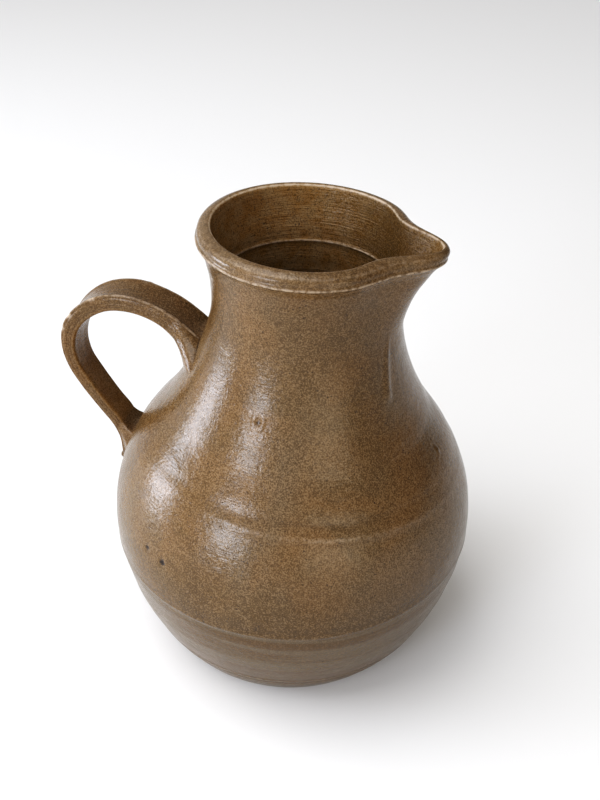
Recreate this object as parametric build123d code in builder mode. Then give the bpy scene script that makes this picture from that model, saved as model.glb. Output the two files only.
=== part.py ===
"""Wheel-thrown stoneware pitcher: a round pot with a pulled spout, a strap handle and its two joint coils.

Millimetres, +Z up. The origin is the centre of the flat base, the spout points along +X
and the handle stands on the -X side.
"""
from build123d import *
from math import cos, exp, pi, sin
import os

# ---- driving dimensions ----------------------------------------------------------------
HEIGHT = 240.0            # foot to rim
BASE_RADIUS = 67.0        # flat face that the pot stands on
BELLY_RADIUS = 94.8       # widest turn of the belly
BELLY_HEIGHT = 72.0
NECK_RADIUS = 45.4        # outside, at the narrowest turn of the neck
NECK_HEIGHT = 206.0
RIM_RADIUS = 51.6         # outside, on the rolled rim
WALL = 5.0
FLOOR = 8.0               # thickness of the clay under the inside
NECK_LEAN = 3.6           # the neck sits this far towards the spout
LEAN_FROM = 115.0         # height where the lean begins

SPOUT_FROM = 186.0        # height where the spout starts to leave the round neck
SPOUT_PULL = 16.0         # sets how fast the spout leaves the neck
SPOUT_SPREAD = 12.5       # degrees, half width of the spout outside
THROAT_SPREAD = 10.5      # degrees, half width of the channel inside
RING_POINTS = 48          # points on one horizontal outline of the pot
WALL_LEVELS = 20          # outlines between the foot and the rim

HANDLE_TURN = 3.0         # degrees, the handle stands this far off the spout's line
STRAP_WIDTH = 19.6        # over the arch
TAIL_WIDTH = 15.6         # at the lower joint
STRAP_ROOT_THICKNESS = 12.0
STRAP_THICKNESS = 9.2     # over the arch
STRAP_THIN = 6.2          # on the way down to the belly
UPPER_JOINT = 0.05        # where the joint coils start, as shares of the strap's length
LOWER_JOINT = 0.94
COIL_SPREAD = 5.0         # how far a joint coil reaches past the strap on the pot
COIL_REACH = 13.0         # how far a joint coil runs out along the strap
COIL_LIP = 0.7            # clay left at the coil's thin outer edge

# ---- profiles, from the foot up: radius, height -----------------------------------------
OUTSIDE = [
    (BASE_RADIUS, 0.0),
    (74.8, 11.5),
    (82.7, 27.0),
    (90.2, 48.0),
    (BELLY_RADIUS, BELLY_HEIGHT),
    (92.5, 96.0),
    (82.8, 120.0),
    (66.1, 144.0),
    (55.4, 165.0),
    (48.3, 186.0),
    (NECK_RADIUS, NECK_HEIGHT),
    (47.9, 225.0),
]
INSIDE = (
    [(52.0, FLOOR), (66.0, 13.0)]
    + [(radius - WALL, height) for radius, height in OUTSIDE[2:]]
)
# the rim, bevelled outward from its inner edge: radius, height, pull of the spout
RIM_EDGE = 45.3
LIP_PULL = 17.0
RIM_OUTSIDE = [
    (49.6, 230.5, 11.8),
    (RIM_RADIUS, 234.6, 12.4),
    (49.8, 237.6, 14.5),
    (RIM_EDGE + 1.0, HEIGHT, LIP_PULL),
]
RIM_INSIDE = [
    (44.6, 232.0, 14.0),
    (RIM_EDGE, HEIGHT + 0.5, LIP_PULL),
]

# centre line of the strap: distance from the pot's axis, height
STRAP_LINE = [
    (44.0, 160.0),
    (57.0, 175.0),
    (73.0, 184.2),
    (89.0, 186.6),
    (106.0, 181.0),
    (118.0, 168.0),
    (120.6, 150.0),
    (108.0, 125.6),
    (96.5, 108.5),
    (92.5, 88.0),
]
# sections of the strap: share of its length, width, thickness
STRAP_SECTIONS = [
    (0.0, STRAP_WIDTH, STRAP_ROOT_THICKNESS),
    (0.3, STRAP_WIDTH, STRAP_THICKNESS),
    (0.6, TAIL_WIDTH + 1.5, STRAP_THIN),
    (1.0, TAIL_WIDTH, STRAP_THIN),
]


def lean(height):
    """Sideways shift of the pot's centre at a height, easing in over the shoulder."""
    rise = min(max((height - LEAN_FROM) / (NECK_HEIGHT - LEAN_FROM), 0.0), 1.0)
    return NECK_LEAN * rise * rise * (3 - 2 * rise)


def spout_pull(height):
    """How far the spout has left the round neck at a height."""
    return SPOUT_PULL * max((height - SPOUT_FROM) / (HEIGHT - SPOUT_FROM), 0.0) ** 1.5


def pot_ring(radius, height, pull, spread):
    """A horizontal outline of the pot: a circle drawn out towards +X at the spout."""
    outline = []
    for step in range(RING_POINTS):
        turn = 2 * pi * step / RING_POINTS
        off_spout = (turn if turn <= pi else turn - 2 * pi) * 180 / pi
        reach = radius + pull * exp(-0.5 * (off_spout / spread) ** 2)
        outline.append((lean(height) + reach * cos(turn), reach * sin(turn)))
    with BuildSketch(Plane.XY.offset(height)) as ring:
        with BuildLine():
            Spline(*outline, periodic=True)
        make_face()
    return ring.sketch.face()


def pot_rings(wall, rim, spread):
    """Outlines at even steps up a smooth wall, then one at each point of the rim."""
    with BuildLine() as profile:
        Spline(*wall)
    steps = [profile.line @ (level / (WALL_LEVELS - 1)) for level in range(WALL_LEVELS)]
    levels = [(step.X, step.Y, spout_pull(step.Y)) for step in steps] + rim
    return [pot_ring(radius, height, pull, spread) for radius, height, pull in levels]


# ---- body: the thrown pot, with its rim and spout ---------------------------------------
with BuildPart() as pot_outside:
    loft(sections=pot_rings(OUTSIDE, RIM_OUTSIDE, SPOUT_SPREAD))

with BuildPart() as body:
    add(pot_outside.part)
    loft(sections=pot_rings(INSIDE, RIM_INSIDE, THROAT_SPREAD), mode=Mode.SUBTRACT)

body.part.label = "body"

# ---- handle: a pulled strap, thick over the arch and thinner below ----------------------
with BuildPart() as strap:
    with BuildLine() as strap_line:
        Spline(*[(-out, 0, height) for out, height in STRAP_LINE])
    for place, width, thickness in STRAP_SECTIONS:
        across = Plane(
            origin=strap_line.line @ place,
            x_dir=(0, 1, 0),
            z_dir=strap_line.line % place,
        )
        with BuildSketch(across):
            SlotOverall(width, thickness)
    sweep(multisection=True)

with BuildPart() as handle:
    add(strap.part, rotation=(0, 0, HANDLE_TURN))
    add(pot_outside.part, mode=Mode.SUBTRACT)

handle.part.label = "handle"


# ---- joint coils: clay pressed round the strap where it meets the pot -------------------
def joint_coil(place, outward, width, thickness):
    """A collar round the strap, wide on the pot and thin where it ends on the strap.

    The collar starts at a place along the strap's line, from 0 at its root to 1 at its tail,
    and runs outward along the strap: 1 towards the tail, -1 towards the root.
    """
    wide = Plane(
        origin=strap_line.line @ place,
        x_dir=(0, 1, 0),
        z_dir=(strap_line.line % place) * outward,
    )
    with BuildPart() as collar:
        with BuildSketch(wide):
            Ellipse(width / 2 + COIL_SPREAD, thickness / 2 + COIL_SPREAD)
        with BuildSketch(wide.offset(COIL_REACH)):
            Ellipse(width / 2 + COIL_LIP, thickness / 2 + COIL_LIP)
        loft()
    with BuildPart() as coil:
        add(collar.part, rotation=(0, 0, HANDLE_TURN))
        add(pot_outside.part, mode=Mode.SUBTRACT)
        add(handle.part, mode=Mode.SUBTRACT)
    return coil


upper_joint_coil = joint_coil(UPPER_JOINT, 1, STRAP_WIDTH, STRAP_ROOT_THICKNESS)
upper_joint_coil.part.label = "upper_joint_coil"

lower_joint_coil = joint_coil(LOWER_JOINT, -1, TAIL_WIDTH, STRAP_THIN)
lower_joint_coil.part.label = "lower_joint_coil"

# ---- export: one file for each piece ----------------------------------------------------
os.makedirs("parts", exist_ok=True)
for piece in (body, handle, upper_joint_coil, lower_joint_coil):
    export_step(piece.part, "parts/" + piece.part.label + ".step")
    size = piece.part.bounding_box()
    print(piece.part.label, len(piece.part.solids()), round(piece.part.volume), size.min, size.max)
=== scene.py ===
"""The looks of the stoneware pitcher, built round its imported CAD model.

Lengths in the drawing are millimetres and become metres through MM. Angles round the pot are
degrees from the spout (+X), anticlockwise from above. The handle stands near 180.
"""

from math import cos, pi, radians, sin

import bpy
import numpy as np
from mathutils import Matrix, Vector, noise


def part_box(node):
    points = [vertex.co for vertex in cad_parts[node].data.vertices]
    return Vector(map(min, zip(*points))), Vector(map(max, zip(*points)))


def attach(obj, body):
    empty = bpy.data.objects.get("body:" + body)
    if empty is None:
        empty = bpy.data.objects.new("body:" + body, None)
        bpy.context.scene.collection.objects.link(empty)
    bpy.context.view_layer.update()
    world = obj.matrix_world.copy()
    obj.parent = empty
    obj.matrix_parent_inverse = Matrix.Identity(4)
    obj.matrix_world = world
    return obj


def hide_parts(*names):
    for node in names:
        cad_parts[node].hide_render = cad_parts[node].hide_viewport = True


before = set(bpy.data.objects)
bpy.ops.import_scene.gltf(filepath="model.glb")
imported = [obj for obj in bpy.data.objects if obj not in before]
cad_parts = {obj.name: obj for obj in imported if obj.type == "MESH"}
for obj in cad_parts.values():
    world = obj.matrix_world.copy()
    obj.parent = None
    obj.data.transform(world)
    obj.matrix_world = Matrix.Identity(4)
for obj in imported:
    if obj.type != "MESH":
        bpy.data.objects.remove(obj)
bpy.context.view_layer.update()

scene = bpy.context.scene
body_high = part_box("body")[1]
DRAWN_HEIGHT = 240.0
MM = body_high.z / DRAWN_HEIGHT          # one drawing millimetre, in metres

# ---- the pot's profile: radius, height, pull of the spout, half width of the spout in degrees
OUTSIDE = [
    (66.2, 0.0, 0, 14), (67.6, 1.2, 0, 14), (75.0, 11.5, 0, 14), (83.4, 27.0, 0, 14),
    (90.9, 48.0, 0, 14), (94.8, 72.0, 0, 14), (92.5, 96.0, 0, 14), (82.8, 120.0, 0, 14),
    (66.1, 144.0, 0, 14), (54.9, 165.0, 0, 14), (47.5, 186.0, 0.4, 14), (45.5, 196.0, 1.5, 14),
    (45.1, 206.0, 3.7, 13.5), (45.9, 216.0, 6.7, 13), (47.9, 225.0, 9.8, 12.5),
]
RIM = [
    (48.9, 229.2, 11.4, 12.2), (49.9, 230.9, 11.8, 12.1), (50.5, 231.9, 12.0, 12.1),
    (51.6, 232.7, 12.2, 12), (52.0, 233.4, 12.4, 12), (51.7, 234.1, 12.7, 12),
    (51.2, 234.8, 13.0, 11.9), (51.2, 235.7, 13.4, 11.8), (51.0, 236.9, 14.0, 11.6),
    (50.2, 238.1, 14.7, 11.4), (48.8, 239.1, 15.5, 11.2), (47.0, 239.8, 16.5, 10.8),
    (45.8, 239.9, 16.9, 10.6), (44.9, 239.1, 16.9, 10.5), (44.6, 236.5, 15.9, 10.5),
]
INSIDE = [
    (44.4, 232.0, 13.6, 10.5), (43.2, 225.0, 10.3, 10.5), (41.2, 216.0, 7.2, 11),
    (40.4, 206.0, 3.9, 11.5), (41.2, 196.0, 1.6, 12), (43.4, 186.0, 0.4, 12),
    (50.4, 165.0, 0, 12), (61.1, 144.0, 0, 12), (77.8, 120.0, 0, 12), (87.5, 96.0, 0, 12),
    (89.8, 72.0, 0, 12), (85.2, 48.0, 0, 12), (77.7, 27.0, 0, 12), (66.0, 13.0, 0, 12),
    (52.0, 8.6, 0, 12),
]
FLOOR_HEIGHT = 8.0
PINCH_SHARE = 0.13           # the fingers that hold the rim press it in beside the spout
PINCH_ANGLE = 32.0
PINCH_SPREAD = 10.0
NECK_LEAN = 3.6
LEAN_FROM, LEAN_TO = 115.0, 206.0

RIM_RISE = 1.4               # the rim isn't level: it stands highest behind the handle
RIM_RISE_FROM = 200.0        # height where it starts to rise
RIM_RISE_ANGLE = 172.0
RIM_RISE_SPREAD = 65.0

COLUMNS = 352                # corners round the pot
ANGLE_SAMPLES = 7201         # angles at which their spacing is worked out
# where the columns stand closer together: angle, how much closer, half width in degrees
CROWDED = [(0.0, 1.2, 22.0), (-95.0, 0.7, 45.0)]
UNDER_RADII = (20.0, 40.0, 55.0, 62.0)   # rows of corners under the base
SOLE_SPREAD = 14             # fills the rows' fourth column there, where no spout is


TINY = 1e-6                  # stands in for a length of 0 where one divides by it


def bell(x, width):
    """A smooth bump: 1 where x is 0, fading to nothing past the width."""
    return np.exp(-((x / width) ** 2))


def unit(vectors):
    """The same directions with length 1."""
    return vectors / np.maximum(np.linalg.norm(vectors, axis=-1, keepdims=True), TINY)


def share_of(x, start, end):
    """How far x is on its way from start to end, from 0 to 1."""
    return np.clip((x - start) / (end - start), 0, 1)


def eased(share):
    """A share from 0 to 1 that starts and ends gently."""
    return share * share * (3 - 2 * share)


def lean(z):
    """Shift of the pot's centre towards the spout at a height."""
    return NECK_LEAN * eased(share_of(z, LEAN_FROM, LEAN_TO))


CURVE_STEPS = 40             # fine steps between two points of a smooth curve


def smooth_curve(points, step):
    """Points along a smooth curve through the given ones, step apart in the first two columns.

    The step is a number or a function of the height, which is the second column.
    """
    p = np.array(points, float)
    p = np.vstack([2 * p[0] - p[1], p, 2 * p[-1] - p[-2]])
    fine = []
    for a, b, c, d in zip(p[:-3], p[1:-2], p[2:-1], p[3:]):
        t_ab, t_bc, t_cd = (max(np.hypot(*(v - u)[:2]), TINY) for u, v in ((a, b), (b, c), (c, d)))
        m_b = (c - b) - t_bc * ((c - a) / (t_ab + t_bc) - (b - a) / t_ab)
        m_c = (c - b) + t_bc * ((d - c) / t_cd - (d - b) / (t_bc + t_cd))
        for t in np.linspace(0, 1, CURVE_STEPS, endpoint=False):
            fine.append(
                (2 * t**3 - 3 * t**2 + 1) * b + (t**3 - 2 * t**2 + t) * m_b
                + (3 * t**2 - 2 * t**3) * c + (t**3 - t**2) * m_c
            )
    fine = np.array(fine + [p[-2]])
    lengths = np.hypot(np.diff(fine[:, 0]), np.diff(fine[:, 1]))
    if callable(step):
        lengths = lengths / np.array([step(z) for z in fine[1:, 1]])
        step = 1.0
    run = np.concatenate([[0], np.cumsum(lengths)])
    count = int(round(run[-1] / step)) + 1
    stops = np.linspace(0, run[-1], count)
    return np.stack([np.interp(stops, run, fine[:, k]) for k in range(fine.shape[1])], 1)


def from_spout(theta):
    """Angle from the spout, from -180 to 180 degrees."""
    return (theta + 180) % 360 - 180


def spout_shape(theta, pull, spread):
    """How far the wall is drawn out at the spout, and pressed in on each side of it."""
    off = from_spout(theta)
    drawn = pull * np.exp(-0.5 * (off / spread) ** 2)
    beside = np.abs(off) - PINCH_ANGLE
    pressed = PINCH_SHARE * pull * np.exp(-0.5 * (beside / PINCH_SPREAD) ** 2)
    return drawn - pressed


# ---- relief of the thrown wall ----------------------------------------------------------
# turning rings that go only part of the way round: height, half width, rise, fall per degree,
# middle angle and half sector
GROOVE = (126.2, 2.2, -0.65, 0.075, -62.0, 48.0)
RIDGE = (120.0, 1.6, 0.60, 0.105, -58.0, 48.0)
RINGS = [
    GROOVE, RIDGE,
    (116.2, 2.6, -0.28, 0.100, -62.0, 45.0), (145.5, 3.2, -0.26, 0.04, -88.0, 60.0),
    (133.8, 3.4, 0.20, 0.05, -85.0, 60.0), (123.0, 2.6, -0.35, -0.03, 95.0, 75.0),
    (117.5, 2.2, 0.30, -0.03, 100.0, 75.0), (148.0, 3.5, -0.20, 0.02, 150.0, 80.0),
    (86.0, 4.0, 0.15, 0.02, -40.0, 90.0), (226.8, 1.0, -0.22, 0.0, -60.0, 110.0),
    (222.5, 1.6, 0.14, 0.01, -90.0, 90.0), (219.5, 1.2, -0.12, 0.01, -100.0, 80.0),
]
# the rings' strength, and how it comes and goes: amount, size of its features, seed
RING_STRENGTH = 0.75
RING_CHANGE = [(0.5, 45.0, 5)]
# rings that run right round near the foot: height, half width, rise
FOOT_RINGS = [
    (60.5, 2.4, 0.16), (53.0, 2.0, -0.14), (44.5, 2.6, 0.14), (21.6, 0.7, 0.34),
    (18.9, 0.8, -0.22), (16.6, 0.7, 0.26), (13.9, 0.8, -0.20), (11.6, 0.7, 0.22),
]
TRIM_HEIGHT = 68.6           # below this line the wall was trimmed with a tool
TRIM_SWAY = 2.4              # the line isn't level
TRIM_SWAY_ANGLE = 20.0
TRIM_DEPTH = 0.42
TRIM_STEP = 1.8              # the step at the line takes this much height
TRIM_FADE = (18.0, 63.0)     # below the line, the depth fades to nothing between these
TRIM_LIP = (0.9, 1.0, 0.22)  # ridge over the line: how far over it, half width, rise
# rings that run right round inside, in the same form: a sharp one in the neck and its hollow
INSIDE_RINGS = [(212.0, 0.8, 0.55), (208.5, 2.5, -0.20), (196.0, 1.2, 0.4)]

# unevenness of the clay: rise, size of its features in millimetres, seed
OUTSIDE_UNEVEN = [(0.70, 80.0, 1), (0.10, 26.0, 2), (0.025, 9.0, 6)]
INSIDE_UNEVEN = [(0.30, 60.0, 11)]
# unevenness that the turning drew out round the pot, and the squeeze that draws it out
OUTSIDE_TURNED = [(0.12, 17.0, 3), (0.035, 5.0, 4)]
OUTSIDE_SQUEEZE = (0.12, 0.12, 2.0)
INSIDE_TURNED = [(0.14, 11.0, 12)]
INSIDE_SQUEEZE = (0.1, 0.1, 2.0)
RIM_RELIEF = 0.45            # share of the relief that the rim shows
FOOT_EASE = 6.0              # the relief grows from nothing over this height

# round marks in the glaze: angle, height, radius, rise, rise of the lip round it
MARKS = [
    (-92.6, 165.1, 2.4, -0.60, 0.40), (-1.6, 131.9, 1.9, 0.80, -0.2), (-54.5, 136.4, 1.2, 0.6, 0.0),
    (-29.0, 95.3, 1.1, 0.55, 0.0), (-24.1, 84.3, 1.1, 0.55, 0.0), (-21.8, 147.4, 1.0, 0.55, 0.0),
    (-121.7, 93.4, 2.6, -0.85, 0.25), (-114.3, 92.2, 3.0, -0.95, 0.3), (-82.0, 74.0, 1.5, -0.5, 0.1),
    (64.0, 139.0, 1.6, 0.6, 0.0), (118.0, 104.0, 2.2, -0.6, 0.2), (36.0, 88.0, 1.3, 0.5, 0.0),
]
MARK_SHARE = 0.7             # half widths of a mark and of its lip, as shares of its radius
LIP_SHARE = 0.35
# a run of glaze: angle, height, half width and rise at its top and at its round end
RUN_TOP = (-17.0, 196.0, 1.375, 0.315)
RUN_END = (-22.3, 170.5, 2.875, 0.99)


SEED_SHIFT = (17.3, 5.1, 9.7)    # how far apart in the noise two neighbouring seeds are


def noise_at(points, size, seed):
    """Smooth noise from -1 to 1 with features about size wide, at points in millimetres."""
    shift = Vector([seed * far for far in SEED_SHIFT])
    return np.array([noise.noise(Vector(p) / size + shift) for p in points])


def unevenness(table, points):
    """Layers of smooth noise added up, from a table of rise, size, seed."""
    return sum(rise * noise_at(points, size, seed) for rise, size, seed in table)


def bands(table, place):
    """Bumps added up, from a table of place, half width, amount."""
    return sum(amount * bell(place - at, width) for at, width, amount in table)


def trim_line(theta):
    """Height of the edge of the trimmed zone at an angle."""
    return TRIM_HEIGHT + TRIM_SWAY * np.cos(np.radians(theta - TRIM_SWAY_ANGLE))


def trimmed(theta, z):
    """1 well below the trimmed edge, 0 above it."""
    return eased(share_of(trim_line(theta) - z, -TRIM_STEP / 2, TRIM_STEP / 2))


def mark_relief(theta, z, radius):
    """The craters, blisters and gouges alone."""
    rise = np.zeros(len(z))
    for angle, height, size, mark, lip in MARKS:
        away = np.hypot(np.radians(from_spout(theta - angle)) * radius, z - height)
        rise += mark * bell(away, size * MARK_SHARE) + lip * bell(away - size, size * LIP_SHARE)
    return rise


def ring_share(theta, z, ring):
    """Where a partial ring of the table lies: 1 along its middle, 0 well away from it."""
    height, width, _, fall, middle, sector = ring
    off = from_spout(theta - middle)
    return bell(z - height + fall * off, width) * bell(off, sector)


def run_relief(theta, z, radius):
    """The run of glaze, which widens and stands out more on its way down."""
    top, end = RUN_TOP[1], RUN_END[1]
    share = share_of(z, top, end)
    angle, _, half, rise = (a + share * (b - a) for a, b in zip(RUN_TOP, RUN_END))
    aside = np.radians(from_spout(theta - angle)) * radius
    past = np.minimum(z - end, 0) + np.maximum(z - top, 0)
    return rise * bell(np.hypot(aside, past), half)


def outside_relief(theta, points):
    """How far the outside stands out from the plain profile, in millimetres."""
    z = points[:, 2]
    radius = np.hypot(points[:, 0], points[:, 1])
    rise = unevenness(OUTSIDE_UNEVEN, points)
    rise += unevenness(OUTSIDE_TURNED, points * OUTSIDE_SQUEEZE)
    strength = RING_STRENGTH + unevenness(RING_CHANGE, points)
    for ring in RINGS:
        rise += ring[2] * strength * ring_share(theta, z, ring)
    rise += strength * bands(FOOT_RINGS, z)
    below = trim_line(theta) - z
    rise -= TRIM_DEPTH * trimmed(theta, z) * (1 - share_of(below, *TRIM_FADE))
    rise += bands([TRIM_LIP], -below)
    return rise + mark_relief(theta, z, radius) + run_relief(theta, z, radius)


def inside_relief(points):
    """Throwing rings inside: one sharp ring in the neck and softer ones below."""
    rise = unevenness(INSIDE_UNEVEN, points)
    rise += unevenness(INSIDE_TURNED, points * INSIDE_SQUEEZE)
    return rise + bands(INSIDE_RINGS, points[:, 2])


# ---- painted shade in the glaze's colour ------------------------------------------------
# painted shade, darker low on the belly: heights where it starts and is full, its least
# share round the pot, how much more it is in front, that front's angle and half width
LOW_SHADE = (112.0, 64.0)
LOW_SHADE_LEAST, LOW_SHADE_MORE = 0.55, 0.42
LOW_SHADE_ANGLE, LOW_SHADE_SPREAD = -22.0, 58.0
# painted shade on the neck under the spout: heights where it starts and is full, share, angle, half
# width
NECK_SHADE = (160.0, 190.0)
NECK_SHADE_SHARE, NECK_SHADE_ANGLE, NECK_SHADE_SPREAD = 0.42, -28.0, 46.0
# and painted shade inside, behind the spout, in the same form
THROAT_SHADE = (196.0, 210.0)
THROAT_SHADE_SHARE, THROAT_SHADE_ANGLE, THROAT_SHADE_SPREAD = 0.85, 36.0, 54.0


def outside_painted_shade(theta, z):
    """Where painted shade darkens the outside's colour."""
    front = bell(from_spout(theta - LOW_SHADE_ANGLE), LOW_SHADE_SPREAD)
    low = eased(share_of(z, *LOW_SHADE)) * (LOW_SHADE_LEAST + LOW_SHADE_MORE * front)
    neck = bell(from_spout(theta - NECK_SHADE_ANGLE), NECK_SHADE_SPREAD) * share_of(z, *NECK_SHADE)
    return low + NECK_SHADE_SHARE * neck


def inside_painted_shade(theta, z):
    """Where painted shade darkens the inside's colour."""
    behind = bell(from_spout(theta - THROAT_SHADE_ANGLE), THROAT_SHADE_SPREAD)
    return THROAT_SHADE_SHARE * behind * share_of(z, *THROAT_SHADE)


# ---- mesh helpers -----------------------------------------------------------------------
def new_piece(name, verts, faces, replaced):
    """A smooth-shaded mesh piece that stands for a CAD node."""
    mesh = bpy.data.meshes.new(name)
    mesh.from_pydata([tuple(v) for v in verts * MM], [], faces)
    mesh.validate()
    mesh.shade_smooth()
    piece = bpy.data.objects.new(name, mesh)
    scene.collection.objects.link(piece)
    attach(piece, "root")
    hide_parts(replaced)
    return piece


def ring_faces(rows, columns, close_first=None, close_last=None):
    """Quads between closed rings, with an optional fan to a point before and after them."""
    faces = []
    for i in range(rows - 1):
        for j in range(columns):
            k = (j + 1) % columns
            low, high = i * columns, (i + 1) * columns
            faces.append((low + j, low + k, high + k, high + j))
    for j in range(columns):
        k = (j + 1) % columns
        if close_first is not None:
            faces.append((close_first, k, j))
        if close_last is not None:
            last = (rows - 1) * columns
            faces.append((close_last, last + j, last + k))
    return faces


def store(piece, name, values):
    """A number at each corner, which the materials read by name."""
    layer = piece.data.attributes.new(name, "FLOAT", "POINT")
    layer.data.foreach_set("value", np.asarray(values, np.float32))


# ---- the pot ----------------------------------------------------------------------------
# rows stand closer together where there is detail: from height to height, step between rows
OUTSIDE_STEPS = [(-1.0, 24.0, 0.7), (TRIM_HEIGHT - 5, TRIM_HEIGHT + 5, 1.2), (112.0, 130.0, 1.2)]
OUTSIDE_PLAIN_STEP = 1.9
INSIDE_STEPS = [(208.0, 215.0, 0.5), (190.0, DRAWN_HEIGHT + 1, 1.6)]
INSIDE_PLAIN_STEP = 8.0
RIM_STEP = 0.5
RIM_RADIUS_GAP = 2.0         # rim rows this far inside its first one are on its inner side


def row_steps(table, plain):
    """The step between rows as a function of the height: the table's where one holds there."""

    def step(z):
        return next((close for low, high, close in table if low < z < high), plain)

    return step


def pot_points(profile, theta):
    """Every corner of the pot for a profile: rows of the profile by columns round it."""
    radius, height, pull, spread = (profile[:, k][:, None] for k in range(4))
    reach = radius + spout_shape(theta[None, :], pull, spread)
    angle = np.radians(theta)[None, :]
    x = lean(height) + reach * np.cos(angle)
    y = reach * np.sin(angle)
    z = np.broadcast_to(height, x.shape)
    return np.stack([x, y, z], 2)


outside_rows = smooth_curve(OUTSIDE + RIM[:1], row_steps(OUTSIDE_STEPS, OUTSIDE_PLAIN_STEP))
rim_rows = smooth_curve([OUTSIDE[-1]] + RIM + INSIDE[:1], RIM_STEP)
rim_rows = rim_rows[(rim_rows[:, 1] > RIM[0][1]) | (rim_rows[:, 0] < RIM[0][0] - RIM_RADIUS_GAP)]
inside_rows = smooth_curve(RIM[-1:] + INSIDE, row_steps(INSIDE_STEPS, INSIDE_PLAIN_STEP))[1:]
inside_rows = inside_rows[inside_rows[:, 1] < rim_rows[-1, 1] - RIM_STEP]
under_rows = np.array([(radius, 0.0, 0, SOLE_SPREAD) for radius in UNDER_RADII])

# every row of the pot, and the first one of its outside, its rim and its inside
pot_rows = np.vstack([under_rows, outside_rows, rim_rows, inside_rows])
FIRST_OUTSIDE = len(under_rows)
FIRST_RIM = FIRST_OUTSIDE + len(outside_rows)
FIRST_INSIDE = FIRST_RIM + len(rim_rows)
TOP_ROW = FIRST_RIM + int(np.argmax(rim_rows[:, 1]))


def column_angles():
    """Angles of the columns, closer together where there is more to show."""
    theta = np.linspace(-180, 180, ANGLE_SAMPLES)
    crowd = 1 + sum(more * np.exp(-0.5 * ((theta - at) / half) ** 2) for at, more, half in CROWDED)
    run = np.cumsum(crowd)
    run = (run - run[0]) / (run[-1] - run[0])
    return np.interp(np.arange(COLUMNS) / COLUMNS, run, theta)


def pot_skin_points(theta):
    """Every corner of the plain pot, and the same corners moved along the profile's normal."""
    plain = pot_points(pot_rows, theta).reshape(-1, 3)
    angle = np.tile(theta, len(pot_rows))
    outside = slice(FIRST_OUTSIDE * COLUMNS, FIRST_INSIDE * COLUMNS)
    inside = slice(FIRST_INSIDE * COLUMNS, len(plain))
    rise = np.zeros(len(plain))
    rise[outside] = outside_relief(angle[outside], plain[outside])
    rise[inside] = inside_relief(plain[inside])
    rise[FIRST_RIM * COLUMNS : FIRST_INSIDE * COLUMNS] *= RIM_RELIEF
    rise *= share_of(plain[:, 2], 0.0, FOOT_EASE)

    along = unit(np.gradient(pot_rows[:, :2], axis=0))
    out = along[:, 1].repeat(COLUMNS)
    up = -along[:, 0].repeat(COLUMNS)
    turn = np.radians(angle)
    moved = plain + np.stack([out * np.cos(turn), out * np.sin(turn), up], 1) * rise[:, None]
    raised = share_of(plain[:, 2], RIM_RISE_FROM, DRAWN_HEIGHT)
    moved[:, 2] += RIM_RISE * raised * bell(from_spout(angle - RIM_RISE_ANGLE), RIM_RISE_SPREAD)
    moved[:, 2] = np.maximum(moved[:, 2], 0)
    return plain, moved


# what the glaze does on the pot. It is thin and pale on edges, and painted highlights lie on the
# rim's inner edge and ridges:
# spots of the rim's section: radius, height, half width, amount
RIM_WEAR = 0.17              # all over the rim
RIM_EDGE_WEAR_AND_HIGHLIGHT = (45.1, 239.4, 0.45, 1.15)
RIM_EDGE_LESS, RIM_EDGE_ANGLE, RIM_EDGE_SPREAD = 0.45, 20.0, 40.0   # the pale edge is weaker here
RIM_RIDGE_WEAR_AND_HIGHLIGHTS = [(52.0, 233.5, 0.6, 0.46), (49.7, 237.9, 0.7, 0.25)]
# rings: height (for the trimmed edge, height over it), half width, amount
FOOT_WEAR = [(21.6, 0.7, 0.32), (16.6, 0.7, 0.30), (11.6, 0.7, 0.26)]
TRIM_WEAR = (0.6, 0.9, 0.14)
INSIDE_WEAR = [(212.2, 0.55, 0.85), (196.2, 0.6, 0.3)]
# painted highlight along the ridge ring in front
RIDGE_PAINTED_HIGHLIGHT = 0.30
# and darker where shade falls: painted shade in the groove, a painted shadow over the trimmed edge
GROOVE_PAINTED_SHADE = 0.28
TRIM_PAINTED_SHADOW = (5.0, 4.5, 0.22)
HOLLOW_ROWS = 2.0            # the inside's own colour starts over this many rows past the top


def section_spot(radius, height, spot):
    """A spot of the pot's section: its amount at its middle, fading with the distance from it."""
    at_radius, at_height, width, amount = spot
    return amount * bell(np.hypot(radius - at_radius, height - at_height), width)


def pot_wear_and_highlights(angle, radius, height, outside, inside):
    """Where the pot's glaze is pale: thin on edges, with painted highlights on the rim and on the
    ridge ring.
    """
    # the rim's inner edge and ridges: thin glaze and painted highlights
    edge = section_spot(radius, height, RIM_EDGE_WEAR_AND_HIGHLIGHT)
    edge *= 1 - RIM_EDGE_LESS * bell(from_spout(angle - RIM_EDGE_ANGLE), RIM_EDGE_SPREAD)
    rim = edge + RIM_WEAR + sum(section_spot(radius, height, ridge) for ridge in RIM_RIDGE_WEAR_AND_HIGHLIGHTS)
    wall = bands(FOOT_WEAR, height) + bands([TRIM_WEAR], height - trim_line(angle))
    # painted highlight on the ridge ring
    wall += RIDGE_PAINTED_HIGHLIGHT * ring_share(angle, height, RIDGE)
    return np.select([outside, inside], [wall, bands(INSIDE_WEAR, height)], rim)


def pot_marks_and_painted_shade(angle, height, plain):
    """Where the outside's glaze is dark: in marks, with painted shade in the groove and a painted
    shadow over the trimmed edge.
    """
    marks = mark_relief(angle, plain[:, 2], np.hypot(plain[:, 0], plain[:, 1]))
    # painted shade in the groove, and a painted shadow over the trimmed edge
    dark = np.clip(-marks, 0, 1) + GROOVE_PAINTED_SHADE * ring_share(angle, height, GROOVE)
    return dark + bands([TRIM_PAINTED_SHADOW], height - trim_line(angle))


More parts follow.
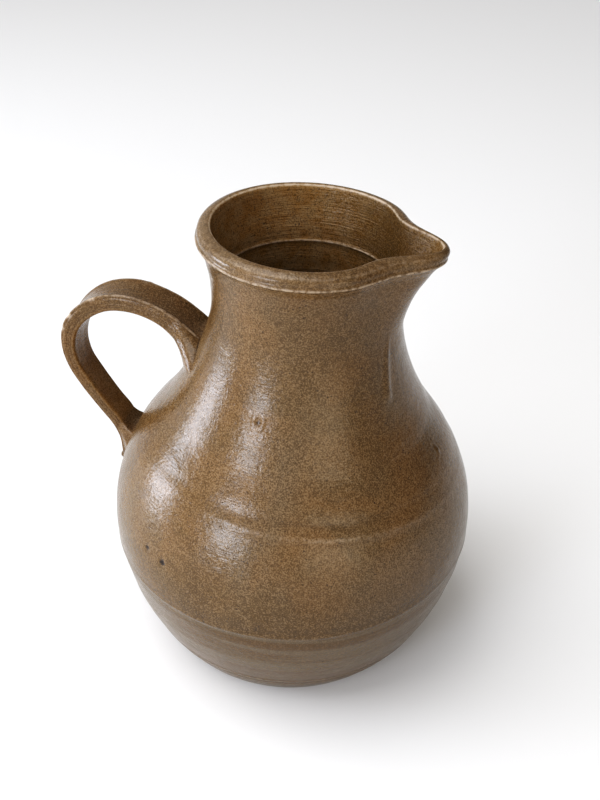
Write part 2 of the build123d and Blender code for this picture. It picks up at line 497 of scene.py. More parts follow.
def build_body():
    """The thrown pot as one closed skin: from under the base over the rim to the inside's floor."""
    theta = column_angles()
    plain, moved = pot_skin_points(theta)
    base_centre, floor_centre = len(moved), len(moved) + 1
    verts = np.vstack([moved, [(0, 0, 0)], [(0, 0, FLOOR_HEIGHT)]])
    faces = ring_faces(len(pot_rows), COLUMNS, base_centre, floor_centre)
    piece = new_piece("pot_body", verts, faces, "body")

    radius, height = (pot_rows[:, k].repeat(COLUMNS) for k in (0, 1))
    angle = np.tile(theta, len(pot_rows))
    row_of = np.arange(len(pot_rows)).repeat(COLUMNS)
    outside = row_of < FIRST_RIM
    inside = row_of >= FIRST_INSIDE
    pale_marks = pot_wear_and_highlights(angle, radius, height, outside, inside)
    # dark marks, and painted shade in the groove and over the trimmed edge
    marks_and_painted_shade = np.where(outside, pot_marks_and_painted_shade(angle, height, plain), 0.0)
    trim = np.where(outside, trimmed(angle, plain[:, 2]), 0.0)
    hollow = share_of(row_of, TOP_ROW, TOP_ROW + HOLLOW_ROWS)
    # painted shade: darker low on the belly, on the neck and inside behind the spout
    painted_shade = np.where(row_of >= TOP_ROW, inside_painted_shade(angle, height), outside_painted_shade(angle, height))
    # the last two values are the middle of the base and of the floor inside
    store(piece, "pale_marks", np.append(pale_marks, [0.0, 0.0]))
    store(piece, "marks_and_painted_shade", np.append(marks_and_painted_shade, [0.0, 0.0]))
    store(piece, "trim", np.append(trim, [1.0, 0.0]))
    store(piece, "hollow", np.append(hollow, [0.0, 1.0]))
    store(piece, "painted_shade", np.append(painted_shade, [0.0, 0.0]))
    return piece


pot = build_body()

# ---- the handle -------------------------------------------------------------------------
HANDLE_ANGLE = 183.0         # it stands 3 degrees off the spout's line
# centre line in the handle's own plane: distance from the pot's axis, height, width, thickness
STRAP = [
    (50.0, 167.0, 21.0, 14.5), (57.4, 175.1, 20.2, 11.4), (64.8, 180.9, 19.9, 10.0),
    (73.6, 184.8, 19.8, 9.6), (86.8, 187.1, 19.8, 9.6), (98.5, 185.1, 19.8, 9.2),
    (110.5, 177.8, 19.4, 8.7), (118.3, 168.0, 19.0, 8.2), (121.1, 155.5, 18.6, 7.0),
    (119.1, 144.4, 18.2, 6.4), (113.0, 133.4, 17.6, 6.3), (103.6, 119.8, 16.8, 6.2),
    (96.8, 110.6, 16.4, 6.4), (93.8, 101.5, 16.0, 5.8), (93.8, 95.0, 14.5, 5.2),
    (94.6, 89.5, 11.5, 5.0), (95.9, 86.6, 8.5, 5.6), (96.6, 83.6, 5.6, 4.2), (96.2, 82.4, 3.0, 2.0),
]
# half of the strap's section, from the middle of its outer face round to the middle of its
# inner face: shares of half the width and of half the thickness
HALF_SECTION = [
    (0.00, 0.78), (0.45, 0.82), (0.74, 0.90), (0.84, 0.99), (0.90, 1.03), (0.95, 0.99),
    (0.965, 0.84), (0.95, 0.70), (0.985, 0.55), (1.00, 0.30), (0.99, 0.12), (0.965, 0.02),
    (0.99, -0.08), (0.985, -0.35), (0.95, -0.52), (0.965, -0.64), (0.93, -0.86), (0.86, -0.98),
    (0.74, -1.00), (0.40, -0.97), (0.00, -0.96),
]
SECTION_POINTS = 104
STRAP_STEP = 1.1             # between rows along the strap
BURY = 1.6                   # how deep pieces end inside the pot's wall

handle_out = np.array([cos(radians(HANDLE_ANGLE)), sin(radians(HANDLE_ANGLE)), 0.0])
handle_side = np.array([-sin(radians(HANDLE_ANGLE)), cos(radians(HANDLE_ANGLE)), 0.0])


def wall_radius(z):
    """Outer radius of the plain pot away from the spout."""
    return np.interp(z, outside_rows[:, 1], outside_rows[:, 0])


def sink_into_pot(points, depth):
    """Points that would pass through the pot's wall stop at a depth under its outer skin."""
    p = np.array(points, float)
    x = p[:, 0] - lean(p[:, 2])
    reach = np.hypot(x, p[:, 1])
    least = wall_radius(p[:, 2]) - depth
    scale = np.maximum(least / np.maximum(reach, TINY), 1.0)
    p[:, 0] = lean(p[:, 2]) + x * scale
    p[:, 1] *= scale
    return p


def section_shares():
    """The whole outline as shares, starting at the near side and going over the outer face."""
    right = np.array(HALF_SECTION)
    left = right[::-1] * (-1, 1)
    outline = np.vstack([right, left[1:]])
    run = np.concatenate([[0], np.cumsum(np.hypot(*np.diff(outline, axis=0).T))])
    stops = np.linspace(0, run[-1], SECTION_POINTS, endpoint=False)
    shares = np.stack([np.interp(stops, run, outline[:, k]) for k in range(2)], 1)
    near = int(np.argmin(np.abs(shares[: SECTION_POINTS // 2, 1])))
    return np.roll(shares[::-1], near + 1, axis=0)


SHARES = section_shares()
SECTION_TURN = np.degrees(np.arctan2(SHARES[:, 1], SHARES[:, 0]))


def section(width, thickness, grow=0.0):
    """Outline of the strap in millimetres: across the strap, and out from the handle's loop."""
    across = SHARES[:, 0] * (width / 2 + grow)
    outward = SHARES[:, 1] * (thickness / 2 + grow)
    return across, outward


strap_rows = smooth_curve(STRAP, STRAP_STEP)


def strap_frames():
    """Centre, direction and outward direction at each row of the strap."""
    centre = np.outer(strap_rows[:, 0], handle_out) + np.outer(strap_rows[:, 1], (0, 0, 1))
    along = unit(np.gradient(centre, axis=0))
    outward = np.cross(along, handle_side)
    return centre, along, outward


# lines drawn along the strap: rise, size across and size along it
DRAWN_RISE, DRAWN_ACROSS, DRAWN_ALONG = 0.14, 1.1, 60.0
# its slow swelling: rise, size along it, and a place in the noise
SWELL_RISE, SWELL_SIZE, SWELL_PLACE = 0.30, 20.0, 3.1
LEAST_REACH = 2.0            # keeps both small where the section comes close to its centre
# chips in the strap's near outer edge (they sink) and nubs on it: distance, height, place
# across from -1 to 1, size, rise
STRAP_HALF = 9.4
STRAP_MARKS = [
    (104.5, 186.6, 0.92, 1.5, -0.5), (118.6, 175.0, 0.95, 1.6, -0.5),
    (123.0, 166.5, 0.95, 1.2, -0.4), (80.0, 191.0, -0.85, 1.1, 0.7), (114.0, 146.0, 0.0, 1.3, 0.5),
]
CHIP_WEAR = 0.8
# worn beads: side and amount; place in the section, stretch across and out, and half width
BEAD_WEAR = [(1.0, 0.46), (-1.0, 0.45)]
BEAD_PLACE = (0.91, 1.0)
BEAD_STRETCH = (5.0, 2.2)
BEAD_WIDTH = 0.5
# worn lines on the sides: place out, half width, amount
SIDE_WEAR = [(-0.10, 0.10, 0.10), (-0.64, 0.12, 0.16)]
SIDE_FROM = 0.9              # the sides lie past this share of half the width
# painted light: the inner face takes the lighter, warmer colour of the pot's inside: place out, half
# width, amount
INNER_FACE = (-1.0, 0.3, 0.50)


def strap_ring(row, centre, outward, length):
    """The strap's outline at a row, with drawn lines along it and a slow swelling."""
    a, b = section(strap_rows[row, 2], strap_rows[row, 3])
    along = length / DRAWN_ALONG
    drawn = [noise.noise(Vector((x / DRAWN_ACROSS, y / DRAWN_ACROSS, along))) for x, y in zip(a, b)]
    swell = SWELL_RISE * noise.noise(Vector((length / SWELL_SIZE, SWELL_PLACE, 0)))
    rise = DRAWN_RISE * np.array(drawn) + swell
    grow = 1 + rise / np.maximum(np.hypot(a, b), LEAST_REACH)
    return centre + np.outer(a * grow, handle_side) + np.outer(b * grow, outward)


def strap_wear(across, out):
    """Where the strap's glaze is thin and pale: along its beads and in lines on its sides."""
    pale_marks = (np.abs(across) > SIDE_FROM) * bands(SIDE_WEAR, out)
    for side, amount in BEAD_WEAR:
        off_across = (across - side * BEAD_PLACE[0]) * BEAD_STRETCH[0]
        off_out = (out - BEAD_PLACE[1]) * BEAD_STRETCH[1]
        pale_marks += amount * bell(np.hypot(off_across, off_out), BEAD_WIDTH)
    return pale_marks


def build_handle():
    """The pulled strap: beaded edges, a hollow outer face and drawn lines along its sides."""
    centre, _, outward = strap_frames()
    rows = len(strap_rows)
    length = np.append(0.0, np.cumsum(np.linalg.norm(np.diff(centre, axis=0), axis=1)))
    verts = np.array([strap_ring(i, centre[i], outward[i], length[i]) for i in range(rows)])
    across = np.tile(SHARES[:, 0], (rows, 1))
    out = np.tile(SHARES[:, 1], (rows, 1))
    pale_marks = strap_wear(across, out)
    for distance, height, place, size, rise in STRAP_MARKS:
        spot = distance * handle_out + (0, 0, height) + place * STRAP_HALF * handle_side
        near = bell(np.linalg.norm(verts - spot, axis=2), size)
        verts = verts + rise * near[:, :, None] * unit(verts - centre[:, None, :])
        if rise < 0:
            pale_marks += CHIP_WEAR * near
    verts = sink_into_pot(verts.reshape(-1, 3), BURY)
    first, last = len(verts), len(verts) + 1
    ends = [verts[:SECTION_POINTS].mean(0), verts[-SECTION_POINTS:].mean(0)]
    verts = np.vstack([verts, ends])
    faces = [tuple(reversed(f)) for f in ring_faces(rows, SECTION_POINTS, first, last)]
    piece = new_piece("strap_handle", verts, faces, "handle")
    store(piece, "pale_marks", np.append(pale_marks.ravel(), [0, 0]))
    # painted light: the strap's inner face takes the inside's lighter colour
    store(piece, "hollow", np.append(bands([INNER_FACE], out.ravel()), [0, 0]))
    for name in ("marks_and_painted_shade", "trim", "painted_shade"):
        store(piece, name, np.zeros(len(verts)))
    return piece


handle = build_handle()


# ---- the joint coils --------------------------------------------------------------------
COIL_ROWS = 22
COIL_GROW = -0.25            # the skirt starts this far out of the strap's skin (so inside it)
COIL_EDGE = -0.30            # and ends this far out of the pot's
COIL_BURY = BURY + 0.4       # how deep its buried rim is
COIL_TUCK = 0.03             # share of the way to the root that its buried rim turns in
ROOT_SHARE = 0.2             # how far the root's middle follows the outline's to one side
# the underside of the strap, where the skirt flows on to the pot: turn, half width in degrees
UNDERSIDE, UNDERSIDE_SPREAD = -90.0, 34.0
LEAST_ARRIVE = 0.15          # share of the run along the pot that is left elsewhere
LEAST_LIFT = 0.3             # how far the skirt stands up from the pot at the least
# unevenness of the skirt: rise, size, seed; the smear runs along it
COIL_SMEAR = [(0.12, 2.2, 21)]
COIL_LUMPS = [(0.08, 9.0, 22)]
# its pale crest, and painted shade in its crease at the pot: turn, half width in degrees, amount
COIL_CREST = (-45.0, 3.0, 0.5)
COIL_CREASE_SHADE = (20.0, 58.0, 0.62)
# how they come in from the strap to the pot, before it is clipped to 0 to 1
CREST_RAMP = (-0.2, 1.6)
CREASE_SHADE_RAMP = (-13.0, 1.4)
OUTLINE_SAMPLES = 1441
OUTLINE_EASE = 15            # samples on each side that ease an outline
# where each coil ends on the pot, for a turn round the strap's section in degrees (0 is the near
# side, 90 its outer face): mm across from the handle's plane towards the near side, height
UPPER_OUTLINE = [
    (-135, -15.0, 163.0), (-110, -11.0, 157.5), (-90, -2.0, 153.5), (-72, 9.0, 154.5),
    (-58, 17.0, 158.5), (-45, 27.0, 164.0), (-32, 23.5, 168.0), (-12, 19.5, 170.5),
    (10, 16.0, 172.5), (35, 12.5, 174.0), (60, 7.5, 175.0), (90, 0.0, 175.0),
    (120, -8.5, 174.5), (145, -12.5, 173.0), (170, -14.5, 170.5), (195, -15.5, 167.5),
]
LOWER_OUTLINE = [
    (-135, -10.5, 107.5), (-90, 0.0, 109.0), (-45, 10.5, 107.5), (0, 12.0, 100.0),
    (45, 9.0, 91.5), (90, 0.0, 87.5), (135, -9.0, 91.5), (180, -12.0, 101.0),
]


def outline_at(table, turn):
    """Places on a closed table of (turn, across, height), eased between its rows."""
    rows = np.array(table, float)
    rows = np.vstack([rows[-2:] - (360, 0, 0), rows, rows[:2] + (360, 0, 0)])
    turn = (turn - table[0][0]) % 360 + table[0][0]
    fine = np.linspace(rows[0, 0], rows[-1, 0], OUTLINE_SAMPLES)
    kernel = bell(np.linspace(-2, 2, 2 * OUTLINE_EASE + 1), 1.0)
    kernel /= kernel.sum()
    values = []
    for k in (1, 2):
        line = np.pad(np.interp(fine, rows[:, 0], rows[:, k]), OUTLINE_EASE, "edge")
        values.append(np.interp(turn, fine, np.convolve(line, kernel, "valid")))
    return values


def pot_skin(across, height, rise=0.0):
    """Points out of the pot's skin by a rise, beside the handle, and the skin's normal there."""
    radius = wall_radius(height)
    turn = radians(HANDLE_ANGLE) + across / radius
    reach = radius + rise
    points = np.stack([lean(height) + reach * np.cos(turn), reach * np.sin(turn), height], 1)
    slope = (wall_radius(height + 1) - wall_radius(height - 1)) / 2
    normal = np.stack([np.cos(turn), np.sin(turn), -slope], 1)
    return points, unit(normal)


def coil_skirt(row, toward, table, leave, arrive, lift):
    """The skirt's corners from the strap to the pot, and the points that close its two ends.

    Its last row is buried in the pot's wall.
    """
    centre, along, outward = strap_frames()
    a, b = section(strap_rows[row, 2], strap_rows[row, 3], COIL_GROW)
    start = centre[row] + np.outer(a, handle_side) + np.outer(b, outward[row])
    across, height = outline_at(table, SECTION_TURN)
    end, normal = pot_skin(across, height, COIL_EDGE)
    gap = np.linalg.norm(end - start, axis=1)[:, None]
    root_across = np.array([across.mean() * ROOT_SHARE])
    root, _ = pot_skin(root_across, np.array([(height.max() + height.min()) / 2]))
    to_root = root - end
    inward = unit(to_root - np.sum(to_root * normal, axis=1)[:, None] * normal)
    flow = bell(from_spout(SECTION_TURN - UNDERSIDE), UNDERSIDE_SPREAD)[:, None]
    follow = arrive * (LEAST_ARRIVE + (1 - LEAST_ARRIVE) * flow)
    near_strap = start + along[row] * toward * gap * leave
    near_pot = end + inward * gap * follow + normal * (LEAST_LIFT + lift * (1 - flow))
    rings = []
    for t in np.linspace(0, 1, COIL_ROWS):
        from_strap = (1 - t) ** 3 * start + 3 * (1 - t) ** 2 * t * near_strap
        rings.append(from_strap + 3 * (1 - t) * t * t * near_pot + t**3 * end)
    buried = sink_into_pot(end - normal * BURY + to_root * COIL_TUCK, COIL_BURY)
    verts = np.vstack(rings + [buried])

    middle = np.repeat(np.append(np.sin(np.linspace(0, pi, COIL_ROWS)), 0.0), SECTION_POINTS)
    strips = np.tile(np.stack([a, b, 0 * a], 1), (COIL_ROWS + 1, 1))
    rise = unevenness(COIL_SMEAR, strips) + unevenness(COIL_LUMPS, verts)
    lumpy = verts + unit(verts - centre[row]) * (rise * middle)[:, None]
    return lumpy, centre[row], buried.mean(0)


def coil_paint(spot, ramp, buried):
    """Amounts at a coil's corners: a spot round the strap that comes in along the skirt."""
    turn, width, amount = spot
    along = np.append(np.clip(np.linspace(*ramp, COIL_ROWS), 0, 1), buried)
    round_strap = amount * bell(from_spout(SECTION_TURN - turn), width)
    return np.append(np.outer(along, round_strap).ravel(), [0, 0])


def build_coil(name, node, row, toward, table, leave, arrive, lift):
    """Clay smoothed from the strap on to the pot: a curved skirt round the strap.

    It leaves the strap at a row of its line and runs toward the root (-1) or the tail (1).
    leave and arrive say how long it follows the strap and the pot's skin, as shares of its run:
    under the strap it flows on to the pot, and elsewhere it stands up from the pot by lift.
    """
    skirt, strap_end, pot_end = coil_skirt(row, toward, table, leave, arrive, lift)
    verts = np.vstack([skirt, [strap_end], [pot_end]])
    faces = ring_faces(COIL_ROWS + 1, SECTION_POINTS, len(skirt), len(skirt) + 1)
    if toward > 0:
        faces = [tuple(reversed(f)) for f in faces]
    piece = new_piece(name, verts, faces, node)
    store(piece, "pale_marks", coil_paint(COIL_CREST, CREST_RAMP, 0.0))
    # painted shade in the crease where the skirt meets the pot
    store(piece, "marks_and_painted_shade", coil_paint(COIL_CREASE_SHADE, CREASE_SHADE_RAMP, 1.0))
    for attribute in ("hollow", "trim", "painted_shade"):
        store(piece, attribute, np.zeros(len(verts)))
    return piece


def row_at(distance, height):
    """The row of the strap's line nearest to a place."""
    return int(np.argmin(np.hypot(strap_rows[:, 0] - distance, strap_rows[:, 1] - height)))


upper_coil = build_coil(
    "upper_joint", "upper_joint_coil",
    row_at(66.0, 181.6), toward=-1, table=UPPER_OUTLINE, leave=0.40, arrive=0.26, lift=3.2,
)
lower_coil = build_coil(
    "lower_joint", "lower_joint_coil",
    row_at(98.6, 113.0), toward=1, table=LOWER_OUTLINE, leave=0.45, arrive=0.30, lift=1.5,
)


# ---- materials --------------------------------------------------------------------------
class Nodes:
    """Short names for making and joining the shader nodes of a material or a world."""

    def __init__(self, material):
        material.use_nodes = True
        self.tree = material.node_tree
        self.tree.nodes.clear()

    def make(self, kind, **settings):
        node = self.tree.nodes.new(kind)
        for key, value in settings.items():
            setattr(node, key, value)
        return node

    def join(self, source, target):
        self.tree.links.new(source, target)

    def noise(self, vector, scale, detail=2.0, rough=0.5, warp=0.0):
        node = self.make("ShaderNodeTexNoise")
        node.inputs["Scale"].default_value = scale
        node.inputs["Detail"].default_value = detail
        node.inputs["Roughness"].default_value = rough
        node.inputs["Distortion"].default_value = warp
        self.join(vector, node.inputs["Vector"])
        return node.outputs["Fac"]

    def cells(self, vector, scale):
        node = self.make("ShaderNodeTexVoronoi")
        node.inputs["Scale"].default_value = scale
        self.join(vector, node.inputs["Vector"])
        return node

    def stretched(self, vector, x, y, z):
        node = self.make("ShaderNodeMapping")
        node.inputs["Scale"].default_value = (x, y, z)
        self.join(vector, node.inputs["Vector"])
        return node.outputs["Vector"]

    def remap(self, value, low, high, to_low=0.0, to_high=1.0):
        """The value moved smoothly from one range to another, and clipped to it."""
        node = self.make("ShaderNodeMapRange", interpolation_type="SMOOTHSTEP")
        for name, number in (
            ("From Min", low), ("From Max", high), ("To Min", to_low), ("To Max", to_high),
        ):
            node.inputs[name].default_value = number
        self.join(value, node.inputs["Value"])
        return node.outputs["Result"]

    def math(self, operation, a, b):
        node = self.make("ShaderNodeMath", operation=operation)
        for socket, value in zip(node.inputs, (a, b)):
            if isinstance(value, (int, float)):
                socket.default_value = value
            else:
                self.join(value, socket)
        return node.outputs[0]

    def times(self, a, b):
        return self.math("MULTIPLY", a, b)

    def mix(self, share, a, b, blend="MIX"):
        node = self.make("ShaderNodeMix", data_type="RGBA", blend_type=blend)
        for name, value in (("Factor_Float", share), ("A_Color", a), ("B_Color", b)):
            socket = next(s for s in node.inputs if s.identifier == name)
            if isinstance(value, tuple):
                socket.default_value = (*value, 1.0)
            elif isinstance(value, (int, float)):
                socket.default_value = value
            else:
                self.join(value, socket)
        return next(s for s in node.outputs if s.identifier == "Result_Color")

    def bump(self, height, strength, distance, before=None):
        node = self.make("ShaderNodeBump")
        node.inputs["Strength"].default_value = strength
        node.inputs["Distance"].default_value = distance
        self.join(height, node.inputs["Height"])
        if before is not None:
            self.join(before, node.inputs["Normal"])
        return node.outputs["Normal"]

    def attribute(self, name):
        return self.make("ShaderNodeAttribute", attribute_name=name).outputs["Fac"]


# glaze colours, linear
WARM = (0.150, 0.086, 0.034)
OLIVE = (0.120, 0.074, 0.031)
GREY = (0.130, 0.098, 0.062)
DEEP = (0.055, 0.028, 0.008)
# the dark brown of the painted shade
PAINTED_SHADE_BROWN = (0.062, 0.032, 0.003)
TAN = (0.270, 0.180, 0.100)
# near black: dots and dark marks, and the painted shade of the groove, trimmed edge and creases
SPECK_AND_PAINTED_SHADE = (0.014, 0.006, 0.002)
PALE = (0.520, 0.420, 0.320)
# the inside: a warmer glaze, set about twice as light as the outside's as painted light
HOLLOW_DARK = (0.300, 0.160, 0.040)
HOLLOW_LIGHT = (0.340, 0.215, 0.090)
BAND_GREY = (0.098, 0.072, 0.042)
BAND_WARM = (0.070, 0.034, 0.006)
# painted shade: darker tints of the whole glaze on the handle and on the coils, and the shine of
# each glaze
HANDLE_SHADE_TINT = (0.86, 0.78, 0.62)
COIL_SHADE_TINT = (0.92, 0.86, 0.74)
POT_GLOSS, HANDLE_GLOSS, COIL_GLOSS = 0.5, 0.36, 0.46
GLAZE_IOR = 1.43
ROUGHNESS = (0.18, 0.26)     # from its smoothest to its roughest
WORN_ROUGHER = 0.2

# sizes of the pattern: the scale of each noise, in features per metre
GRAIN_SCALE, COARSE_SCALE, FINE_BUMP_SCALE = 1500, 480, 900
PEEL_SCALE, MOTTLE_SCALE, CLOUD_SCALE, WASH_SCALE = 300, 150, 38, 17
DOT_SCALE, DOT_SIZE_SCALE, WEAR_SCALE, SHEEN_SCALE = 420, 120, 420, 90
STREAK_SCALE, LINE_SCALE = 9, 60
STREAK_SQUEEZE, LINE_SQUEEZE, WASH_SQUEEZE = 22, 26, 0.35    # along Z

# how much each part of the pattern shows, at most
GREY_SHARE, DARK_WASH_SHARE, DARK_MOTTLE_SHARE, BAND_SHARE = 0.55, 0.42, 0.25, 0.60
LIGHT_GRAIN_SHARE, DARK_GRAIN_SHARE, DOT_SHARE, PALE_SHARE = 0.42, 0.60, 0.60, 0.85
TRIMMED_CALMER = 0.55        # the grain is this much weaker on the trimmed zone

# depths of the bumps in metres
PEEL_DEPTH, FINE_DEPTH, PIT_DEPTH = 0.00020, 0.00009, 0.00010
LINE_DEPTH, INNER_LINE_DEPTH = 0.00010, 0.00030
PIT_STRENGTH = 0.6


def glaze_ground(n, place, shade_tint):
    """The glaze's colour before its speckle, and the hollow and trim attributes."""
    mottle = n.noise(place, MOTTLE_SCALE, detail=4, rough=0.6, warp=0.4)
    cloud = n.noise(place, CLOUD_SCALE, detail=4, rough=0.55, warp=0.6)
    drawn = n.stretched(place, 1, 1, WASH_SQUEEZE)
    wash = n.noise(drawn, WASH_SCALE, detail=3, rough=0.5, warp=0.8)
    colour = n.mix(n.remap(cloud, 0.35, 0.65), WARM, OLIVE)
    colour = n.mix(n.times(n.remap(wash, 0.50, 0.72), GREY_SHARE), colour, GREY)
    colour = n.mix(n.times(n.remap(wash, 0.48, 0.30), DARK_WASH_SHARE), colour, DEEP)
    colour = n.mix(n.times(n.remap(mottle, 0.50, 0.28), DARK_MOTTLE_SHARE), colour, DEEP)

    # painted shade: darker low on the belly, on the neck and inside behind the spout
    painted_shade = n.attribute("painted_shade")
    colour = n.mix(painted_shade, colour, PAINTED_SHADE_BROWN)

    trim = n.attribute("trim")
    streak = n.noise(n.stretched(place, 1, 1, STREAK_SQUEEZE), STREAK_SCALE, detail=4, rough=0.55)
    band = n.mix(n.remap(streak, 0.42, 0.56), BAND_GREY, BAND_WARM)
    colour = n.mix(n.times(trim, BAND_SHARE), colour, band)

    hollow = n.attribute("hollow")
    # the inside's colour, warmer and set lighter as painted light, under the painted shade
    inner = n.mix(n.remap(mottle, 0.38, 0.62), HOLLOW_DARK, HOLLOW_LIGHT)
    colour = n.mix(hollow, colour, n.mix(painted_shade, inner, PAINTED_SHADE_BROWN))
    # painted shade: the handle's and the coils' glaze is a darker copy of the pot's
    if shade_tint is not None:
        colour = n.mix(1.0, colour, shade_tint, "MULTIPLY")
    return colour, hollow, trim


def glaze_speckle(n, place, colour, trim, dots, pale_marks):
    """Light and dark grain, dark dots, pale worn edges with painted highlights, and dark marks with
    painted shade over the ground colour.
    """
    grain = n.noise(place, GRAIN_SCALE, detail=1, rough=0.5)
    coarse = n.noise(place, COARSE_SCALE, detail=3, rough=0.6)
    light = n.math("ADD", n.times(grain, 0.75), n.times(coarse, 0.25))
    strength = n.math("SUBTRACT", 1.0, n.times(trim, TRIMMED_CALMER))
    lighter = n.times(n.remap(light, 0.50, 0.62), n.times(strength, LIGHT_GRAIN_SHARE))
    darker = n.times(n.remap(light, 0.50, 0.38), n.times(strength, DARK_GRAIN_SHARE))
    colour = n.mix(darker, n.mix(lighter, colour, TAN), DEEP)

    dot_size = n.remap(n.noise(place, DOT_SIZE_SCALE, detail=2), 0.40, 0.75, 0.04, 0.22)
    dot = n.math("LESS_THAN", dots, dot_size)
    colour = n.mix(n.times(dot, DOT_SHARE), colour, SPECK_AND_PAINTED_SHADE)
    # pale where the glaze is worn or chipped, and painted highlights on the rim and the ridge ring
    colour = n.mix(n.remap(pale_marks, 0.05, 0.95, 0.0, PALE_SHARE), colour, PALE)
    # near black in dark marks, and painted shade in the groove, over the trimmed edge and in the
    # coils' creases
    return n.mix(n.remap(n.attribute("marks_and_painted_shade"), 0.10, 0.70), colour, SPECK_AND_PAINTED_SHADE)


def glaze_bump(n, place, hollow, dots):
    """Orange peel, fine grain, lines left by turning (deeper inside the pot) and small pits."""
    peel = n.noise(place, PEEL_SCALE, detail=2, rough=0.5)
    grain = n.noise(place, FINE_BUMP_SCALE, detail=2, rough=0.6)
    lines = n.noise(n.stretched(place, 1, 1, LINE_SQUEEZE), LINE_SCALE, detail=3, rough=0.6)
    normal = n.bump(peel, 1.0, PEEL_DEPTH)
    normal = n.bump(grain, 1.0, FINE_DEPTH, normal)
    normal = n.bump(lines, 1.0, LINE_DEPTH, normal)
    normal = n.bump(n.times(lines, hollow), 1.0, INNER_LINE_DEPTH, normal)
    return n.bump(n.remap(dots, 0.03, 0.20), PIT_STRENGTH, PIT_DEPTH, normal)


def glaze(name, shade_tint, gloss):
    """Semi-gloss speckled stoneware glaze, tinted darker by the shade tint as painted shade unless
    that is None.
    """
    material = bpy.data.materials.new(name)
    n = Nodes(material)
    place = n.make("ShaderNodeTexCoord").outputs["Object"]
    dots = n.cells(place, DOT_SCALE).outputs["Distance"]
    broken = n.remap(n.noise(place, WEAR_SCALE, detail=3, rough=0.6), 0.35, 0.60, 0.45, 1.0)
    pale_marks = n.times(n.attribute("pale_marks"), broken)
    ground, hollow, trim = glaze_ground(n, place, shade_tint)
    rough = n.remap(n.noise(place, SHEEN_SCALE, detail=3, rough=0.6), 0.3, 0.7, *ROUGHNESS)
    rough = n.math("ADD", rough, n.times(pale_marks, WORN_ROUGHER))

    shader = n.make("ShaderNodeBsdfPrincipled")
    n.join(glaze_speckle(n, place, ground, trim, dots, pale_marks), shader.inputs["Base Color"])
    n.join(rough, shader.inputs["Roughness"])
    n.join(glaze_bump(n, place, hollow, dots), shader.inputs["Normal"])
    shader.inputs["IOR"].default_value = GLAZE_IOR
    shader.inputs["Specular IOR Level"].default_value = gloss
    output = n.make("ShaderNodeOutputMaterial")
    n.join(shader.outputs["BSDF"], output.inputs["Surface"])
    return material


pot.data.materials.append(glaze("pot_glaze", None, POT_GLOSS))
handle.data.materials.append(glaze("handle_glaze", HANDLE_SHADE_TINT, HANDLE_GLOSS))
coil_glaze = glaze("coil_glaze", COIL_SHADE_TINT, COIL_GLOSS)
upper_coil.data.materials.append(coil_glaze)
lower_coil.data.materials.append(coil_glaze)


# ---- floor, light and camera ------------------------------------------------------------
FLOOR_HALF = 4.0
FLOOR_COLOUR = (0.87, 0.87, 0.87)
FLOOR_ROUGHNESS = 0.9


def plain_material(name, colour, roughness):
    """One even colour."""
    material = bpy.data.materials.new(name)
    n = Nodes(material)
    shader = n.make("ShaderNodeBsdfPrincipled")
    shader.inputs["Base Color"].default_value = (*colour, 1.0)
    shader.inputs["Roughness"].default_value = roughness
    output = n.make("ShaderNodeOutputMaterial")
    n.join(shader.outputs["BSDF"], output.inputs["Surface"])
    return material


floor_mesh = bpy.data.meshes.new("floor")
corners = [(x * FLOOR_HALF, y * FLOOR_HALF, 0) for x, y in ((-1, -1), (1, -1), (1, 1), (-1, 1))]
floor_mesh.from_pydata(corners, [], [(0, 1, 2, 3)])
floor_mesh.materials.append(plain_material("pale_floor", FLOOR_COLOUR, FLOOR_ROUGHNESS))
floor = bpy.data.objects.new("floor", floor_mesh)
scene.collection.objects.link(floor)

LIT_PLACE = (0, 0, 0.12)     # the softboxes face this place


def softbox(name, azimuth, elevation, distance, width, height, power, colour):
    """A rectangular light that faces the middle of the pot, from a distance in metres."""
    light = bpy.data.lights.new(name, "AREA")
    light.shape = "RECTANGLE"
    light.size = width
    light.size_y = height
    light.energy = power
    light.color = colour
    lamp = bpy.data.objects.new(name, light)
    scene.collection.objects.link(lamp)
    a, e = radians(azimuth), radians(elevation)
    back = Vector((cos(a) * cos(e), sin(a) * cos(e), sin(e)))
    lamp.location = Vector(LIT_PLACE) + back * distance
    lamp.rotation_mode = "QUATERNION"
    lamp.rotation_quaternion = (-back).to_track_quat("-Z", "Y")


DAYLIGHT = (0.93, 1.00, 1.14)
ROOM_LIGHT = (1.00, 0.90, 0.74)
WHITE = (1.0, 1.0, 1.0)
# name, azimuth, elevation, distance, width, height, power, colour
SOFTBOXES = [
    ("left_window", -163.5, 3, 1.5, 0.52, 0.58, 12.8, DAYLIGHT),
    ("front_window", -112, 11, 1.5, 0.42, 0.38, 7.8, DAYLIGHT),
    ("right_fill", -46, 10, 1.5, 0.95, 0.60, 4.4, ROOM_LIGHT),
    ("upper_pane", -113, 28, 1.5, 0.40, 0.12, 1.2, DAYLIGHT),
    ("overhead", -150, 66, 1.6, 1.3, 1.3, 18, WHITE),
]
for settings in SOFTBOXES:
    softbox(*settings)

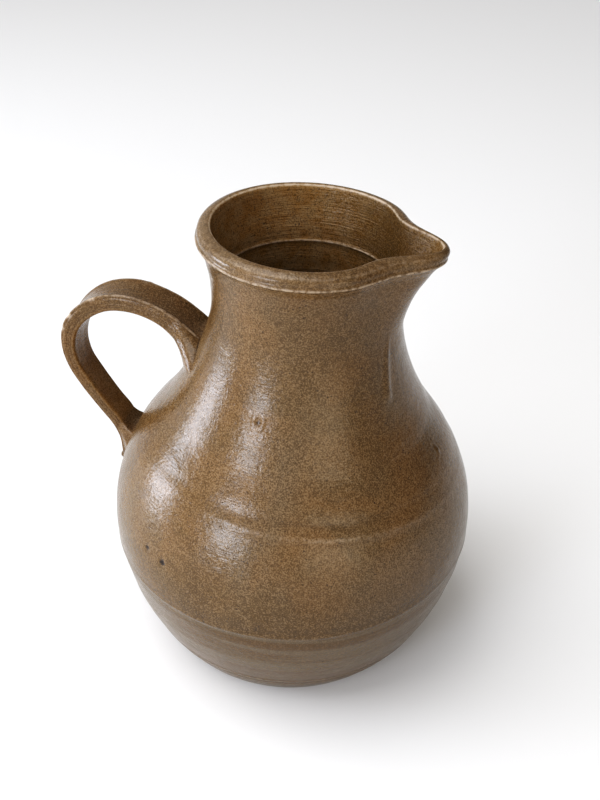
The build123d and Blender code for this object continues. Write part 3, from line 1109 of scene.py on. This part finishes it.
# the surroundings are brighter towards this direction, on the windows' side
WORLD_BRIGHT = (-0.80, -0.50, 0.33)
WORLD_RANGE = (0.12, 0.95)   # strength away from it and towards it
SKY_LIGHT = (0.98, 0.98, 1.00)
FAR_LIGHT = (1.00, 0.95, 0.88)


def build_world():
    """Surroundings that fade from the windows' side to the far side."""
    world = bpy.data.worlds.new("studio")
    sky = Nodes(world)
    heading = sky.make("ShaderNodeTexCoord").outputs["Generated"]
    facing = sky.make("ShaderNodeVectorMath", operation="DOT_PRODUCT")
    sky.join(heading, facing.inputs[0])
    facing.inputs[1].default_value = WORLD_BRIGHT
    toward = facing.outputs["Value"]
    background = sky.make("ShaderNodeBackground")
    colour = sky.mix(sky.remap(toward, -1.0, 1.0), FAR_LIGHT, SKY_LIGHT)
    sky.join(colour, background.inputs["Color"])
    sky.join(sky.remap(toward, -1.0, 1.0, *WORLD_RANGE), background.inputs["Strength"])
    output = sky.make("ShaderNodeOutputWorld")
    sky.join(background.outputs["Background"], output.inputs["Surface"])
    return world


scene.world = build_world()

# a print's deeper shadows: scene value in, scene value out, between black and white
SHADOW_CURVE = [(0.05, 0.025), (0.10, 0.062), (0.20, 0.158), (0.40, 0.375)]
COMBINED = 3                 # the curve that acts on all three colours
scene.view_settings.view_transform = "Standard"
scene.view_settings.use_curve_mapping = True
tones = scene.view_settings.curve_mapping
for value_in, value_out in SHADOW_CURVE:
    tones.curves[COMBINED].points.new(value_in, value_out)
tones.update()

# the camera looks down on the pot from the front left of the spout
CAMERA_PLACE = (0.12566, -0.39859, 0.43507)
CAMERA_TURN, CAMERA_TILT, CAMERA_ROLL = 17.22, 54.94, 2.0
camera = bpy.data.cameras.new("camera")
camera.sensor_width = 36.0
camera.lens = 45.0
camera.clip_start = 0.01
camera_object = bpy.data.objects.new("camera", camera)
scene.collection.objects.link(camera_object)
camera_object.matrix_world = (
    Matrix.Translation(CAMERA_PLACE)
    @ Matrix.Rotation(radians(CAMERA_TURN), 4, "Z")
    @ Matrix.Rotation(radians(CAMERA_TILT), 4, "X")
    @ Matrix.Rotation(radians(CAMERA_ROLL), 4, "Z")
)
scene.camera = camera_object
